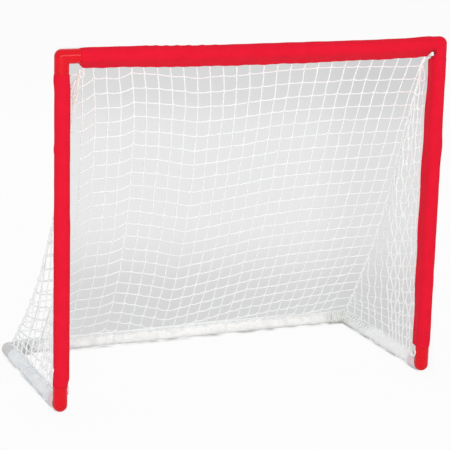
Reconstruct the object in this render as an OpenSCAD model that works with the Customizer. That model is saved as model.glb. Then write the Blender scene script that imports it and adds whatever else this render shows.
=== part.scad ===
// Street hockey goal: push-fit pipe frame, cloth sleeves and a slack net. Sizes in mm.

/* [Whole goal] */
// width over the corner elbows, along X
goal_w = 1170; // [900:10:1400]
// height over the corner elbows, along Z
goal_h = 1004; // [800:4:1300]
// depth over the base elbows, along Y
goal_d = 555; // [400:5:800]

/* [Pipes] */
// outer diameter of every pipe
pipe_d = 32; // [25:1:40]
// wall of the pipes
pipe_wall = 2.4; // [1.6:0.1:4]
// length of the joining plugs inside the long pipes
coupler_len = 90; // [50:5:140]
// width of the collar between two half pipes
collar_w = 4; // [2:1:10]

/* [Elbows] */
// outer diameter of the corner elbows
elbow_d = 40; // [36:1:50]
// outer diameter of the arm that the base sleeve covers
slim_arm_d = 38; // [36:1:50]
// length of an elbow arm from the crossing of its axes
arm_len = 55; // [40:1:80]
// distance from that crossing to the end of the pipe
seat = 22; // [18:1:30]
// play between pipe and socket, per side
socket_gap = 0.3; // [0.1:0.1:1]
// bore through the bend
bend_bore = 26; // [16:1:30]

/* [Red sleeves] */
// round part of the crossbar sleeve
bar_sleeve_d = 44; // [42:1:60]
// distance from the bar axis to the pulled-down hem
bar_hem = 37; // [30:1:60]
// lean of that hem from straight down, towards the back
bar_hem_lean = 16; // [0:1:45]
// round part of the post sleeves
post_sleeve_d = 44; // [42:1:60]
// distance from the post axis to the hem at the back
post_hem = 30; // [25:1:50]
// height of the lower end of the post sleeves
post_sleeve_low = 73; // [60:1:120]
// bare elbow beside the left end of the crossbar sleeve
bare_bar = 50; // [30:1:80]
// bare elbow above the left post sleeve
bare_post = 48; // [30:1:80]
// cloth thickness, with its hem fold
cloth = 1.2; // [0.6:0.1:2]

/* [White sleeves] */
// round part of the base sleeves
base_sleeve_d = 35; // [34:0.5:50]
// distance from the pipe axis to the hem that carries the net
base_hem = 27; // [22:1:45]
// wall of the base sleeves
base_cloth = 0.8; // [0.5:0.1:2]
// lean of the rear hem from upright, towards the front
rear_hem_lean = 38; // [0:1:70]

/* [Net] */
// width of a net strand
strand = 4; // [2:0.5:6]
// gaps of the back net across the goal
back_cols = 18; // [8:1:20]
// gaps of the back net from crossbar to base
back_rows = 16; // [8:1:16]
// gaps of a side net from post to seam
side_cols = 6; // [3:1:8]
// gaps of a side net from top to base
side_rows = 12; // [6:1:14]
// belly of the back net along its left edge
belly_left = 47; // [0:1:90]
// belly of the back net in the middle
belly_mid = 20; // [0:1:90]
// belly of the back net towards its right edge
belly_right = 10; // [0:1:90]
// how much deeper the right seam is drawn in
seam_pull = 27; // [0:1:60]
// belly of the side nets towards the inside
side_slack = 14; // [0:1:60]
// seam cord diameter
seam_d = 5.5; // [3:0.5:10]

/* [Tie cords] */
// tie cord diameter
tie_d = 4; // [3:0.5:6]
// tie knot diameter
knot_d = 10; // [6:1:16]

/* [Output] */
// sub-part to draw

/* [Hidden] */
$fn = 96;
// pipe axes: posts at x = -ax and ax, front at y = front_y, rear at y = rear_y
ax = (goal_w - elbow_d) / 2;
front_y = -(goal_d - elbow_d) / 2;
rear_y = (goal_d - elbow_d) / 2;
base_z = elbow_d / 2;
top_z = goal_h - elbow_d / 2;
pipe_r = pipe_d / 2;
elbow_r = elbow_d / 2;
slim_r = slim_arm_d / 2;
socket_r = pipe_r + socket_gap;
mid_z = (base_z + top_z) / 2;
half_post = (top_z - base_z) / 2 - seat - collar_w / 2;
half_bar = ax - seat - collar_w / 2;
side_len = rear_y - front_y - 2 * seat;
bar_r = bar_sleeve_d / 2;
post_r = post_sleeve_d / 2;
base_r = base_sleeve_d / 2;
// the base sleeve opens to this radius over the elbow arm
flare_r = slim_r + 0.9;
hood_low = 42;
red = [0.87, 0.11, 0.17];
white = [0.93, 0.93, 0.92];
ivory = [0.86, 0.86, 0.83];
pipe_white = [0.9, 0.9, 0.88];

// hem lines that the nets hang from
bar_hem_y = front_y + bar_hem * sin(bar_hem_lean);
bar_hem_z = top_z - bar_hem * cos(bar_hem_lean);
rear_hem_y = rear_y - base_hem * sin(rear_hem_lean);
rear_hem_z = base_z + base_hem * cos(rear_hem_lean);
side_hem_z = base_z + base_hem;
// corners of the seams between back and side nets
left_top = [-ax + bare_bar + 4, bar_hem_y + 2, bar_hem_z - 3];
right_top = [ax - 36, bar_hem_y + 2, bar_hem_z - 3];
left_low = [-ax + 6, rear_hem_y - 2, rear_hem_z + 3];
right_low = [ax - 6, rear_hem_y - 2, rear_hem_z + 3];
// the belly of the back net lies across this line
back_out = [0, 0.875, 0.484];

function lerp(a, b, t) = a + (b - a) * t;

// belly at the share w across the goal and v down the net
function bellyAt(w, v) =
    let (
        wide = (1 - w) * (1 - 2 * w) * belly_left + 4 * w * (1 - w) * belly_mid + w * (2 * w - 1) * belly_right,
        edge = pow(max(0, 2 * w - 1), 8)
    )
    (wide + edge * seam_pull) * sin(180 * v) + (lerp(-17, 6, w) - 0.4 * edge * seam_pull) * sin(360 * v)
        - 3 * sin(540 * v);
function seamAt(a, b, t) =
    let (p = lerp(a, b, t))
    p - back_out * bellyAt(0.5 + p[0] / (2 * ax - 50), t);

function backAt(u, v) =
    let (
        hem = [lerp(left_top[0] + 5, right_top[0] - 5, u), bar_hem_y + 0.3, bar_hem_z - 0.6],
        rear = [lerp(left_low[0] + 5, right_low[0] - 5, u), rear_hem_y - 0.6, rear_hem_z + 0.6],
        p = lerp(hem, rear, v)
    )
    p - back_out * bellyAt(0.5 + p[0] / (2 * ax - 50), v);

function sideAt(s, topPt, lowPt, t, v) =
    let (
        post = [s * ax, front_y + post_hem + 0.5, lerp(top_z - 62, side_hem_z + 2, v)],
        seam = seamAt(topPt, lowPt, 0.03 + 0.97 * v) - [0, 0.6 * seam_d, 0],
        base = [s * ax, lerp(front_y + post_hem + 0.5, lowPt[1], t), side_hem_z + 1],
        flat = lerp(post, seam, t),
        low = pow(v, 6)
    )
    lerp(flat, [lerp(flat[0], base[0], 0.8), flat[1], base[2]], low)
        - [s * side_slack * sin(180 * t) * sin(180 * v), 0, 0];

backGrid = [for (j = [0:back_rows]) [for (i = [0:back_cols]) backAt(i / back_cols, j / back_rows)]];
leftGrid = [for (j = [0:side_rows]) [for (i = [0:side_cols])
    sideAt(-1, left_top, left_low, i / side_cols, j / side_rows)]];
rightGrid = [for (j = [0:side_rows]) [for (i = [0:side_cols])
    sideAt(1, right_top, right_low, i / side_cols, j / side_rows)]];

// point inside a gap, measured from its corner a along the sides to b and d, with c opposite
function inset(a, b, c, d, w) =
    let (
        s = min(0.4, w / norm(b - a)),
        t = min(0.4, w / norm(d - a))
    )
    lerp(lerp(a, b, s), lerp(d, c, s), t);

// a net of crossing strands as one closed body, diamond shaped in section
module netSheet(grid, out, half, thick) {
    nj = len(grid) - 1;
    ni = len(grid[0]) - 1;
    m = (ni + 1) * (nj + 1);
    front = [for (row = grid) for (p = row) p + out * thick];
    back = [for (row = grid) for (p = row) p - out * thick];
    rim = [for (j = [0:nj - 1]) for (i = [0:ni - 1])
        let (a = grid[j][i], b = grid[j][i + 1], c = grid[j + 1][i + 1], d = grid[j + 1][i])
        each [
            inset(a, b, c, d, half), inset(b, a, d, c, half),
            inset(c, d, a, b, half), inset(d, c, b, a, half)
        ]];
    faces = [
        for (j = [0:nj - 1]) for (i = [0:ni - 1])
            let (
                c = [j * (ni + 1) + i, j * (ni + 1) + i + 1, (j + 1) * (ni + 1) + i + 1, (j + 1) * (ni + 1) + i],
                r = 2 * m + 4 * (j * ni + i)
            )
            for (k = [0:3])
                let (n = (k + 1) % 4)
                each [
                    [c[k], r + k, r + n], [c[k], r + n, c[n]],
                    [c[k] + m, r + n, r + k], [c[k] + m, c[n] + m, r + n]
                ],
        for (i = [0:ni - 1]) each edgeWall(i, i + 1, m),
        for (j = [0:nj - 1]) each edgeWall(j * (ni + 1) + ni, (j + 1) * (ni + 1) + ni, m),
        for (i = [0:ni - 1]) each edgeWall(nj * (ni + 1) + i + 1, nj * (ni + 1) + i, m),
        for (j = [0:nj - 1]) each edgeWall((j + 1) * (ni + 1), j * (ni + 1), m)
    ];
    polyhedron(points = concat(front, back, rim), faces = faces, convexity = 10);
}
function edgeWall(a, b, m) = [[a, b, b + m], [a, b + m, a + m]];

function unit(v) = v / norm(v);
function tangent(p, i) = unit(p[min(i + 1, len(p) - 1)] - p[max(i - 1, 0)]);

// round cord along a row of points
module cordTube(p, r, side, sides) {
    n = len(p);
    points = [for (i = [0:n - 1])
        let (
            t = tangent(p, i),
            a = unit(cross(side, t)),
            b = cross(t, a)
        )
        for (k = [0:sides - 1]) p[i] + r * (a * cos(360 * k / sides) + b * sin(360 * k / sides))];
    faces = [
        for (i = [0:n - 2]) for (k = [0:sides - 1])
            let (
                l = (k + 1) % sides,
                q = i * sides,
                w = q + sides
            )
            each [[q + k, w + k, w + l], [q + k, w + l, q + l]],
        for (k = [1:sides - 2]) [0, k, k + 1],
        for (k = [1:sides - 2]) [(n - 1) * sides, (n - 1) * sides + k + 1, (n - 1) * sides + k]
    ];
    polyhedron(points = points, faces = faces, convexity = 6);
}

// smooth curve through a few points
function spline(p, steps) = [
    for (i = [0:len(p) - 2]) for (k = [0:steps - 1])
        let (
            a = p[max(i - 1, 0)], b = p[i], c = p[i + 1], d = p[min(i + 2, len(p) - 1)],
            t = k / steps
        )
        0.5 * (2 * b + (c - a) * t + (2 * a - 5 * b + 4 * c - d) * t * t
            + (3 * b - a - 3 * c + d) * t * t * t),
    p[len(p) - 1]
];

module pipe(length) {
    difference() {
        cylinder(h = length, r = pipe_r);
        translate([0, 0, -1]) cylinder(h = length + 2, r = pipe_r - pipe_wall);
    }
}
module pipeX(x, length) {
    translate([x, 0, 0]) rotate([0, 90, 0]) pipe(length);
}
module pipeY(y, length) {
    translate([0, y, 0]) rotate([-90, 0, 0]) pipe(length);
}

// plug that joins two half pipes, collar in the middle
module coupler() {
    plug_r = pipe_r - pipe_wall - 0.3;
    difference() {
        union() {
            translate([0, 0, -coupler_len / 2]) cylinder(h = coupler_len, r = plug_r);
            translate([0, 0, -collar_w / 2]) cylinder(h = collar_w, r = pipe_r);
        }
        translate([0, 0, -coupler_len]) cylinder(h = 2 * coupler_len, r = plug_r - 2.4);
    }
}

// arm of an elbow along +Z from the crossing of the axes
module armSolid(r) {
    cylinder(h = arm_len - 1.5, r = r);
    translate([0, 0, arm_len - 1.5]) cylinder(h = 1.5, r1 = r, r2 = r - 1);
}
module armSocket() {
    cylinder(h = arm_len, r = bend_bore / 2);
    translate([0, 0, seat]) cylinder(h = arm_len, r = socket_r);
    translate([0, 0, arm_len - 1]) cylinder(h = 1.2, r1 = socket_r, r2 = socket_r + 1);
}
// elbow with one arm along +Z and one along +X
module elbow(rz, rx) {
    difference() {
        union() {
            sphere(r = max(rz, rx));
            armSolid(rz);
            rotate([0, 90, 0]) armSolid(rx);
        }
        sphere(r = bend_bore / 2);
        armSocket();
        rotate([0, 90, 0]) armSocket();
    }
}

// loop of cloth around a pipe, its hem pulled out along +X
module loopShape(r, hem) {
    a = acos(r / hem);
    circle(r = r);
    polygon([[0, 0], [r * cos(a), -r * sin(a)], [hem, 0], [r * cos(a), r * sin(a)]]);
}
module loopSolid(r, hem, length) {
    linear_extrude(height = length) loopShape(r, hem);
}
module loopTube(r, hem, wall, length) {
    difference() {
        loopSolid(r, hem, length);
        translate([0, 0, -1]) loopSolid(r - wall, hem * (r - wall) / r, length + 2);
    }
}

module left_post_upper_tube() {
    color(pipe_white) translate([-ax, front_y, mid_z + collar_w / 2]) pipe(half_post);
}
module left_post_lower_tube() {
    color(pipe_white) translate([-ax, front_y, base_z + seat]) pipe(half_post);
}
module right_post_upper_tube() {
    color(pipe_white) translate([ax, front_y, mid_z + collar_w / 2]) pipe(half_post);
}
module right_post_lower_tube() {
    color(pipe_white) translate([ax, front_y, base_z + seat]) pipe(half_post);
}
module crossbar_left_tube() {
    color(pipe_white) translate([0, front_y, top_z]) pipeX(-ax + seat, half_bar);
}
module crossbar_right_tube() {
    color(pipe_white) translate([0, front_y, top_z]) pipeX(collar_w / 2, half_bar);
}
module left_base_tube() {
    color(pipe_white) translate([-ax, 0, base_z]) pipeY(front_y + seat, side_len);
}
module right_base_tube() {
    color(pipe_white) translate([ax, 0, base_z]) pipeY(front_y + seat, side_len);
}
module rear_base_left_tube() {
    color(pipe_white) translate([0, rear_y, base_z]) pipeX(-ax + seat, half_bar);
}
module rear_base_right_tube() {
    color(pipe_white) translate([0, rear_y, base_z]) pipeX(collar_w / 2, half_bar);
}

module left_post_coupler() {
    color(ivory) translate([-ax, front_y, mid_z]) coupler();
}
module right_post_coupler() {
    color(ivory) translate([ax, front_y, mid_z]) coupler();
}
module crossbar_coupler() {
    color(ivory) translate([0, front_y, top_z]) rotate([0, 90, 0]) coupler();
}
module rear_base_coupler() {
    color(ivory) translate([0, rear_y, base_z]) rotate([0, 90, 0]) coupler();
}

module top_left_elbow() {
    color(red) translate([-ax, front_y, top_z]) rotate([0, 90, 0]) elbow(elbow_r, elbow_r);
}
module top_right_elbow() {
    color(red) translate([ax, front_y, top_z]) rotate([0, 180, 0]) elbow(elbow_r, elbow_r);
}
module front_left_elbow() {
    color(red) translate([-ax, front_y, base_z]) rotate([0, 0, 90]) elbow(elbow_r, slim_r);
}
module front_right_elbow() {
    color(red) translate([ax, front_y, base_z]) rotate([0, 0, 90]) elbow(elbow_r, slim_r);
}
module rear_left_elbow() {
    color(ivory) translate([-ax, rear_y, base_z]) rotate([90, 0, 0]) elbow(elbow_r, elbow_r);
}
module rear_right_elbow() {
    color(ivory) translate([ax, rear_y, base_z]) rotate([90, 0, 0]) mirror([1, 0, 0])
        elbow(elbow_r, elbow_r);
}

// the crossbar sleeve ends in a hood over the right corner
module hoodSolid(r, hem, hood, extra) {
    start = -ax + bare_bar - extra;
    stop = ax - 34 + extra;
    translate([start, 0, 0]) rotate([0, 90, 0]) rotate([0, 0, bar_hem_lean])
        loopSolid(r, hem, stop - start);
    translate([ax - 46 - extra, 0, 0]) rotate([0, 90, 0]) cylinder(h = 46 + extra, r = hood);
    translate([ax, 0, 0]) sphere(r = hood);
    translate([ax, 0, -hood_low - extra]) cylinder(h = hood_low + extra, r = hood);
}
module crossbar_sleeve() {
    k = (bar_r - cloth) / bar_r;
    color(red) translate([0, front_y, top_z]) difference() {
        hoodSolid(bar_r, bar_hem, bar_r + 0.6, 0);
        hoodSolid(bar_r - cloth, bar_hem * k, bar_r - 0.8, 0.5);
    }
}
module postSleeve(low, high) {
    translate([0, front_y, low]) rotate([0, 0, 90]) loopTube(post_r, post_hem, cloth, high - low);
}
module left_post_sleeve() {
    color(red) translate([-ax, 0, 0]) postSleeve(post_sleeve_low, top_z - bare_post);
}
module right_post_sleeve() {
    color(red) translate([ax, 0, 0]) postSleeve(post_sleeve_low, top_z - hood_low);
}

// side sleeve along +Y: open over the elbow arm, then close around the pipe
module sideSolid(grow, extra) {
    y0 = front_y + elbow_r + 3;
    y1 = front_y + arm_len + 3;
    y2 = y1 + 14;
    y3 = rear_y - arm_len - 2;
    k = (base_r + grow) / base_r;
    translate([0, y0 - extra, 0]) rotate([-90, 0, 0])
        cylinder(h = y1 - y0 + extra, r = flare_r + grow * 0.75);
    translate([0, y1, 0]) rotate([-90, 0, 0])
        cylinder(h = y2 - y1, r1 = flare_r + grow * 0.75, r2 = base_r + grow);
    translate([0, y2, 0]) rotate([-90, 0, 0]) cylinder(h = y3 - y2 + extra, r = base_r + grow);
    translate([0, y1, 0]) rotate([-90, 0, 0]) rotate([0, 0, -90])
        loopSolid(base_r + grow, base_hem * k, y3 - y1 + extra);
}
module sideSleeve() {
    translate([0, 0, base_z]) difference() {
        sideSolid(0, 0);
        sideSolid(-base_cloth, 0.5);
    }
}
module left_base_sleeve() {
    color(white) translate([-ax, 0, 0]) sideSleeve();
}
module right_base_sleeve() {
    color(white) translate([ax, 0, 0]) sideSleeve();
}
module rear_base_sleeve() {
    start = -ax + arm_len + 2;
    color(white) translate([start, rear_y, base_z]) rotate([0, 90, 0])
        rotate([0, 0, 180 + rear_hem_lean])
        loopTube(base_r, base_hem, base_cloth, -2 * start);
}

module back_net() {
    color(white) netSheet(backGrid, back_out, strand / 2, 1.6);
}
module left_side_net() {
    color(white) netSheet(leftGrid, [-1, 0, 0], strand / 2, 1.5);
}
module right_side_net() {
    color(white) netSheet(rightGrid, [-1, 0, 0], strand / 2, 1.5);
}
module left_seam_cord() {
    color(white) cordTube([for (i = [0:20]) seamAt(left_top, left_low, i / 20)], seam_d / 2, [1, 0, 0], 8);
}
module right_seam_cord() {
    color(white) cordTube([for (i = [0:20]) seamAt(right_top, right_low, i / 20)], seam_d / 2, [1, 0, 0], 8);
}

// tie from the hem end of the crossbar sleeve to the left post, and its loose tail
leftTie = [
    left_top + [-2, -3, -1], left_top + [4, -4, -16], left_top + [-5, -5, -26],
    left_top + [-18, -6, -22], [-ax + post_r + 2, front_y + 6, left_top[2] - 24]
];
leftTail = [
    left_top + [-15, -12, -26], left_top + [-13, -13, -48], left_top + [-14, -13, -74],
    left_top + [-20, -12, -98]
];
// tie from the right seam under the bar and up its front to the corner
rightTie = [
    right_top + [2, -7, -2], [ax - 38, front_y + 6, top_z - 40], [ax - 38, front_y - 14, top_z - 31],
    [ax - 33, front_y - 24, top_z - 19], [ax - 26, front_y - 26, top_z - 10],
    [ax - 21, front_y - 22.5, top_z - 7]
];
function around(s, angle, r, z) = [s * (ax + r * cos(angle)), front_y + r * sin(angle), z];
// ties around the inner side of the two front elbows
function frontTie(s) = [
    around(s, 128, 31, side_hem_z + 6), around(s, 160, 26, post_sleeve_low - 6),
    around(s, 192, 23, post_sleeve_low - 8), around(s, 212, 22.6, 61),
    around(s, 204, 22.6, 51), around(s, 176, 23.5, 45), around(s, 150, 27, 47)
];

module top_left_tie() {
    color(white) {
        cordTube(spline(leftTie, 5), tie_d / 2, [0, 1, 0], 8);
        translate(left_top + [-15, -6, -23]) sphere(r = knot_d / 2, $fn = 12);
    }
}
module top_left_tie_tail() {
    color([0.93, 0.91, 0.78]) cordTube(spline(leftTail, 6), tie_d / 2, [0, 1, 0], 8);
}
module top_right_tie() {
    color(white) cordTube(spline(rightTie, 5), tie_d / 2, [1, 0.2, 0], 8);
}
module front_left_tie() {
    color(white) {
        cordTube(spline(frontTie(-1), 5), tie_d / 2, [0.6, 0.5, 0.1], 8);
        translate(around(-1, 150, 27, 47)) sphere(r = knot_d / 2, $fn = 12);
    }
}
module front_right_tie() {
    color(white) {
        cordTube(spline(frontTie(1), 5), tie_d / 2, [-0.6, 0.5, 0.1], 8);
        translate(around(1, 150, 27, 47)) sphere(r = knot_d / 2, $fn = 12);
    }
}

left_post_upper_tube();
left_post_lower_tube();
right_post_upper_tube();
right_post_lower_tube();
crossbar_left_tube();
crossbar_right_tube();
left_base_tube();
right_base_tube();
rear_base_left_tube();
rear_base_right_tube();
left_post_coupler();
right_post_coupler();
crossbar_coupler();
rear_base_coupler();
top_left_elbow();
top_right_elbow();
front_left_elbow();
front_right_elbow();
rear_left_elbow();
rear_right_elbow();
crossbar_sleeve();
left_post_sleeve();
right_post_sleeve();
left_base_sleeve();
right_base_sleeve();
rear_base_sleeve();
back_net();
left_side_net();
right_side_net();
left_seam_cord();
right_seam_cord();
top_left_tie();
top_left_tie_tail();
top_right_tie();
front_left_tie();
front_right_tie();
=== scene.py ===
import random
from functools import partial
from math import acos, atan2, cos, exp, hypot, pi, radians, sin, sqrt

import bpy
import numpy as np
from mathutils import Matrix, Vector, noise


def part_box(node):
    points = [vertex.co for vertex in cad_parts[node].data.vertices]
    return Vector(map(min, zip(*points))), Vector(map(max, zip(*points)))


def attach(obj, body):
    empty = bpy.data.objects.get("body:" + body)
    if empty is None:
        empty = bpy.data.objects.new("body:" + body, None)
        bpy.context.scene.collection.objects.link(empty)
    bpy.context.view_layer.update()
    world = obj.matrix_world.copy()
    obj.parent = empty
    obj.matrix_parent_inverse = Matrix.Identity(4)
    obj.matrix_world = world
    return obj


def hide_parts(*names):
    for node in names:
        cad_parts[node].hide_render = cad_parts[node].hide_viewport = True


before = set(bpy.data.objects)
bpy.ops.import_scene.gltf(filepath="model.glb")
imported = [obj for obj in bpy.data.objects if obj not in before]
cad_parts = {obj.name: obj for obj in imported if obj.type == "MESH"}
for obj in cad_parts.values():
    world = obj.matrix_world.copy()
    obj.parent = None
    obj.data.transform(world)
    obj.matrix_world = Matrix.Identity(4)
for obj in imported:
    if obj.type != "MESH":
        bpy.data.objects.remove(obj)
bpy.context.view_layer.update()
dice = random.Random(41)


def middleOf(node):
    low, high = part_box(node)
    return (low + high) / 2


# where the pipes run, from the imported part
postX, frontY = middleOf("right_post_upper_tube").xy
barZ = middleOf("crossbar_left_tube").z
rearY, baseZ = middleOf("rear_base_left_tube").yz
print("frame loaded:", len(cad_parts), "nodes")

cameraSetup = {
    "place": (-1.9427, -4.6015, 1.6738),
    "headingDeg": 23.132,  # to the right of straight into the goal
    "tiltDeg": -14.010,
    "rollDeg": 1.613,
    "lensMm": 139.63, "sensorMm": 36.0,
    "seesTo": 100.0,
}


def addObject(name, data):
    item = bpy.data.objects.new(name, data)
    bpy.context.scene.collection.objects.link(item)
    return item


def placeCamera(setup):
    data = bpy.data.cameras.new("shotCamera")
    data.lens, data.sensor_width, data.clip_end = setup["lensMm"], setup["sensorMm"], setup["seesTo"]
    camera = addObject("shotCamera", data)
    turn = (
        Matrix.Rotation(radians(-setup["headingDeg"]), 4, "Z")
        @ Matrix.Rotation(radians(90 + setup["tiltDeg"]), 4, "X")
        @ Matrix.Rotation(radians(setup["rollDeg"]), 4, "Z")
    )
    camera.matrix_world = Matrix.Translation(setup["place"]) @ turn
    bpy.context.scene.camera = camera


placeCamera(cameraSetup)

# paths, tubes and cords


def unit(v):
    return v / max(np.linalg.norm(v), 1e-12)


def blendIn(a, b, t):
    return np.asarray(a, float) + (np.asarray(b, float) - np.asarray(a, float)) * t


def easeStep(low, high, x):
    t = min(max((x - low) / (high - low), 0.0), 1.0)
    return t * t * (3 - 2 * t)


def shares(count):
    return [k / count for k in range(count + 1)]


def readOff(points, at):
    return float(np.interp(at, *zip(*points)))


def softNoise(x, y, z):
    return noise.noise(Vector((x, y, z)))


def wobble(seed, size):
    return np.array([softNoise(seed * 1.37 + k * 17.1, seed * 0.71, 3.3 + k) for k in range(3)]) * size


def lengthsAlong(path):
    return np.concatenate([[0], np.cumsum(np.linalg.norm(np.diff(path, axis=0), axis=1))])


def smoothPath(points, steps):
    # a curve through the points, with so many steps from each to the next
    p = [np.array(q, float) for q in points]
    out = []
    for i in range(len(p) - 1):
        a, b, c, d = p[max(i - 1, 0)], p[i], p[i + 1], p[min(i + 2, len(p) - 1)]
        for t in shares(steps)[:-1]:
            out.append(0.5 * (2 * b + (c - a) * t + (2 * a - 5 * b + 4 * c - d) * t * t
                              + (3 * b - a - 3 * c + d) * t ** 3))
    return np.array(out + [p[-1]])


def evenPath(path, step):
    path = np.asarray(path, float)
    along = lengthsAlong(path)
    at = np.linspace(0, along[-1], max(2, int(round(along[-1] / step)) + 1))
    return np.stack([np.interp(at, along, path[:, k]) for k in range(3)], 1), at


def pathFrames(path):
    # the way ahead at each point and two directions across it, without twist
    ahead = np.empty_like(path)
    ahead[1:-1] = path[2:] - path[:-2]
    ahead[0], ahead[-1] = path[1] - path[0], path[-1] - path[-2]
    ahead /= np.maximum(np.linalg.norm(ahead, axis=1), 1e-12)[:, None]
    side = np.cross(ahead[0], (0.31, 0.22, 0.93))
    if np.linalg.norm(side) < 0.2:
        side = np.cross(ahead[0], (1.0, 0.1, 0.0))
    sides = np.empty_like(path)
    for i, way in enumerate(ahead):
        side = unit(side - way * np.dot(side, way))
        sides[i] = side
    return ahead, sides, np.cross(ahead, sides)


def ringsRound(centres, sideways, upward, angle, reach):
    # angle and reach have a row for each centre, or one row for them all
    way = sideways[:, None] * np.cos(angle)[..., None] + upward[:, None] * np.sin(angle)[..., None]
    return centres[:, None] + way * reach[..., None]


def newStore():
    return {"verts": [], "faces": [], "uvs": [], "count": 0}


def addSkin(store, rings, along, across, capped=True):
    # quads from ring to ring; the cloth map holds the place across the ring and along the path
    sides, base = len(across) - 1, store["count"]
    along, across = list(map(float, along)), list(map(float, across))
    store["verts"].append(np.reshape(rings, (-1, 3)))
    store["count"] += len(rings) * sides
    for i in range(len(rings) - 1):
        near, far = base + i * sides, base + (i + 1) * sides
        for k in range(sides):
            m = (k + 1) % sides
            store["faces"].append((near + k, near + m, far + m, far + k))
            store["uvs"].append(((across[k], along[i]), (across[k + 1], along[i]),
                                 (across[k + 1], along[i + 1]), (across[k], along[i + 1])))
    if capped:
        for row, order in ((0, -1), (len(rings) - 1, 1)):
            store["faces"].append(tuple(base + row * sides + k for k in range(sides))[::order])
            store["uvs"].append(tuple((across[k], along[row]) for k in range(sides))[::order])


tubeEnd = {"out": 0.5, "radius": 0.55, "map": 0.001}  # a smaller ring past each end


def addTube(store, path, radius, sides=6):
    # one closed tube along the path, its ends rounded off
    path = np.asarray(path, float)
    ahead, sideways, upward = pathFrames(path)
    rows = np.clip(np.arange(-1, len(path) + 1), 0, len(path) - 1)
    centres, radii, along = path[rows], (np.ones(len(path)) * radius)[rows], lengthsAlong(path)[rows]
    centres[0] -= ahead[0] * radii[0] * tubeEnd["out"]
    centres[-1] += ahead[-1] * radii[-1] * tubeEnd["out"]
    radii[[0, -1]] *= tubeEnd["radius"]
    along[[0, -1]] += (-tubeEnd["map"], tubeEnd["map"])
    angle = np.arange(sides) * 2 * pi / sides
    addSkin(store, ringsRound(centres, sideways[rows], upward[rows], angle, radii[:, None]),
            along, np.arange(sides + 1) / sides)


tieCord = {
    "thick": 0.004,
    "strands": 3, "strandShare": 0.74,  # a strand's thickness as a share of the cord's
    "turnEvery": 0.011,
    "stepsPerTurn": 10, "sidesPerStrand": 5,
}


def addTwistedCord(store, path, c):
    # one skin with the strands' round backs and the grooves between them
    line, along = evenPath(path, c["turnEvery"] / c["stepsPerTurn"])
    ahead, sideways, upward = pathFrames(line)
    strand, offset = c["thick"] / 2 * c["strandShare"], c["thick"] / 2 * (1 - c["strandShare"])
    sides, lobe = c["strands"] * c["sidesPerStrand"], 2 * pi / c["strands"]
    turn = np.arange(sides) * 2 * pi / sides
    off = (turn + lobe / 2) % lobe - lobe / 2
    reach = offset * np.cos(off) + np.sqrt(np.maximum(strand ** 2 - (offset * np.sin(off)) ** 2, 0))
    angle = turn[None, :] + (2 * pi * along / c["turnEvery"])[:, None]
    addSkin(store, ringsRound(line, sideways, upward, angle, reach), along, np.arange(sides + 1) / sides)


def addKnot(store, centre, axis, size, thick):
    # overhand knot pulled tight, as a three-lobed loop
    axis = unit(np.asarray(axis, float))
    side = unit(np.cross(axis, (0.3, 0.9, 0.2)))
    up = np.cross(axis, side)
    big, small = (size - thick) * 0.34, (size - thick) * 0.16
    points = []
    for k in range(37):
        a = 2 * pi * k / 36
        r = big + small * cos(3 * a)
        points.append(centre + side * r * cos(2 * a)
                      + up * r * sin(2 * a) + axis * small * 1.6 * sin(3 * a))
    addTube(store, points, thick / 2)


def makePiece(name, store, material, replaced=()):
    mesh = bpy.data.meshes.new(name)
    mesh.from_pydata([tuple(v) for v in np.vstack(store["verts"])], [], store["faces"])
    layer = mesh.uv_layers.new(name="clothRun")
    layer.data.foreach_set("uv", [c for face in store["uvs"] for uv in face for c in uv])
    mesh.polygons.foreach_set("use_smooth", [True] * len(mesh.polygons))
    mesh.materials.append(material)
    mesh.validate()
    piece = addObject(name, mesh)
    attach(piece, "root")
    if replaced:
        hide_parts(*replaced)
    return piece


# materials


def fill(socket, value):
    # with a number, a colour, or another node's output
    if isinstance(value, bpy.types.NodeSocket):
        socket.id_data.links.new(value, socket)
    else:
        socket.default_value = value


def addNode(near, kind, spaced=(), **values):
    # near: the node tree or anything in it; spaced: for the inputs whose names have spaces in them
    node = near.id_data.nodes.new("ShaderNode" + kind)
    for key, value in {**values, **dict(spaced)}.items():
        if key in node.inputs:
            fill(node.inputs[key], value)
        else:
            setattr(node, key, value)
    return node


def outOf(near, kind, output, spaced=(), **values):
    return addNode(near, kind, spaced, **values).outputs[output]


def fillInOrder(sockets, values):
    for socket, value in zip(sockets, values):
        fill(socket, value)


def maths(operation, *values):
    near = [value for value in values if isinstance(value, bpy.types.NodeSocket)][0]
    node = addNode(near, "Math", operation=operation)
    fillInOrder(node.inputs, values)
    return node.outputs[0]


times, less, sizeOf = (partial(maths, word) for word in ("MULTIPLY", "SUBTRACT", "ABSOLUTE"))


def softStep(value, low, high):
    return outOf(value, "MapRange", "Result", {"From Min": low, "From Max": high},
                 interpolation_type="SMOOTHSTEP", Value=value)


def mixColours(share, first, second):
    node = addNode(share, "Mix", data_type="RGBA", Factor=share)
    fillInOrder([s for s in node.inputs if s.type == "RGBA"], (first, second))
    return [s for s in node.outputs if s.type == "RGBA"][0]


def mixShaders(share, first, second):
    node = addNode(share, "MixShader")
    fillInOrder(node.inputs, (share, first, second))
    return node.outputs[0]


def splitUp(vector):
    return addNode(vector, "SeparateXYZ", Vector=vector).outputs


def patches(place, scale, detail, **values):
    return outOf(place, "TexNoise", "Fac", Vector=place, Scale=scale, Detail=detail, **values)


def addBump(shader, height, strength, distance):
    # over the bumps that the shader already has
    bump = addNode(shader, "Bump", Height=height, Strength=strength, Distance=distance)
    for link in shader.inputs["Normal"].links:
        fill(bump.inputs["Normal"], link.from_socket)
    fill(shader.inputs["Normal"], bump.outputs["Normal"])


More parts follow.
